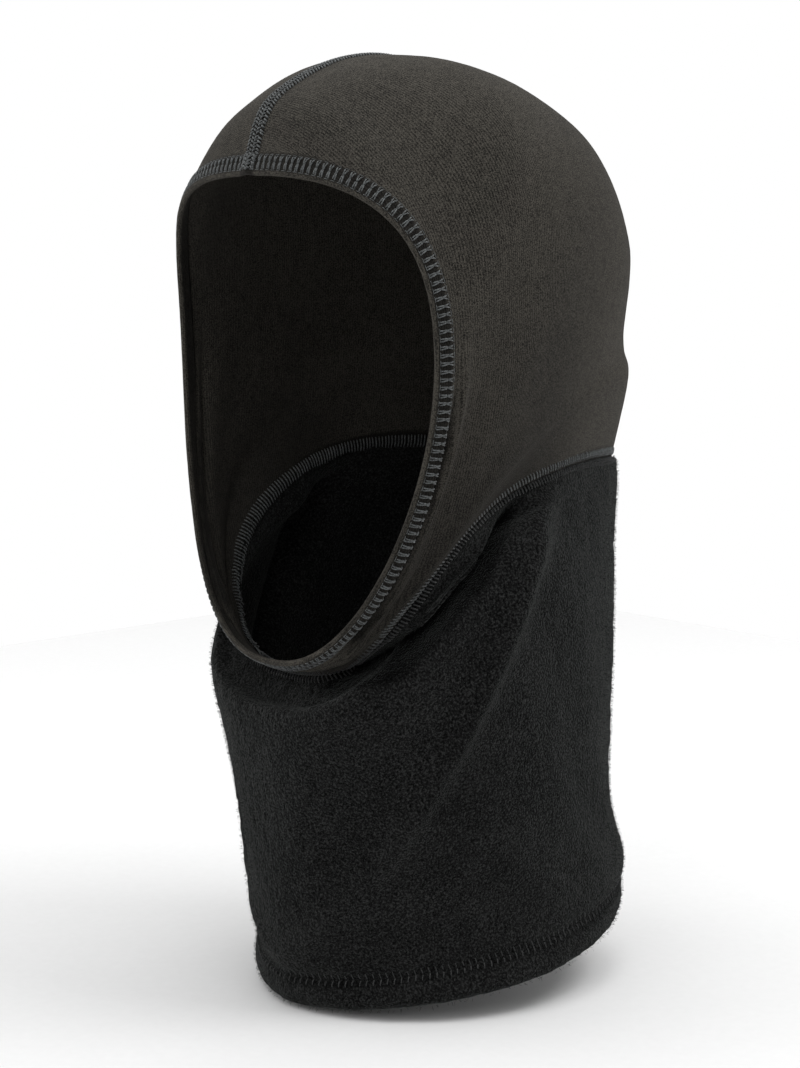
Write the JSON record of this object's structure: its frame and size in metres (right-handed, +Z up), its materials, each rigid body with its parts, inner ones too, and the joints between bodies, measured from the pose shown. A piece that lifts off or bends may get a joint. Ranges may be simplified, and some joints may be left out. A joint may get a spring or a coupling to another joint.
{
  "type": "balaclava",
  "caption": "Stretch-knit balaclava hood with a full face opening, flatlocked seams and a long fleece neck, shaped as worn on a head.",
  "frame": {"origin": "inside of the crown, where the top of the head carries the hood", "axes": "+Z up along the neck, -Y toward the front of the face, +X toward the wearer's left"},
  "size_m": [0.1682, 0.1914, 0.3784],
  "materials": {
    "knit": "matt charcoal stretch knit, faintly ribbed and heathered",
    "fleece": "near-black pebbly micro-fleece with a short soft pile",
    "hood_thread": "grey-teal textured polyester sewing thread with a slight shine",
    "neck_thread": "dark grey sewing thread, sunk in the pile",
    "label": "plain woven satin tape with no print"
  },
  "bodies": {
    "root": {"hood_panel_left": "knit", "hood_panel_right": "knit", "face_hem_facing_left": "knit", "face_hem_facing_right": "knit", "face_thread_inner_line": "hood_thread", "face_thread_cover": "hood_thread", "face_thread_outer_line": "hood_thread", "crown_seam_thread": "hood_thread", "crown_seam_inner_thread": "hood_thread", "chin_seam_thread": "hood_thread", "neck_panel_left": "fleece", "neck_panel_right": "fleece", "bottom_hem_turn_up_left": "fleece", "bottom_hem_turn_up_right": "fleece", "neck_seam_thread_upper": "hood_thread", "neck_seam_thread_lower": "hood_thread", "neck_seam_inner_thread": "hood_thread", "neck_front_seam_thread": "neck_thread", "neck_back_seam_thread": "neck_thread", "bottom_hem_thread_upper": "neck_thread", "bottom_hem_thread_lower": "neck_thread", "care_label": "label", "care_label_stitch": "neck_thread"}
  },
  "joints": []
}
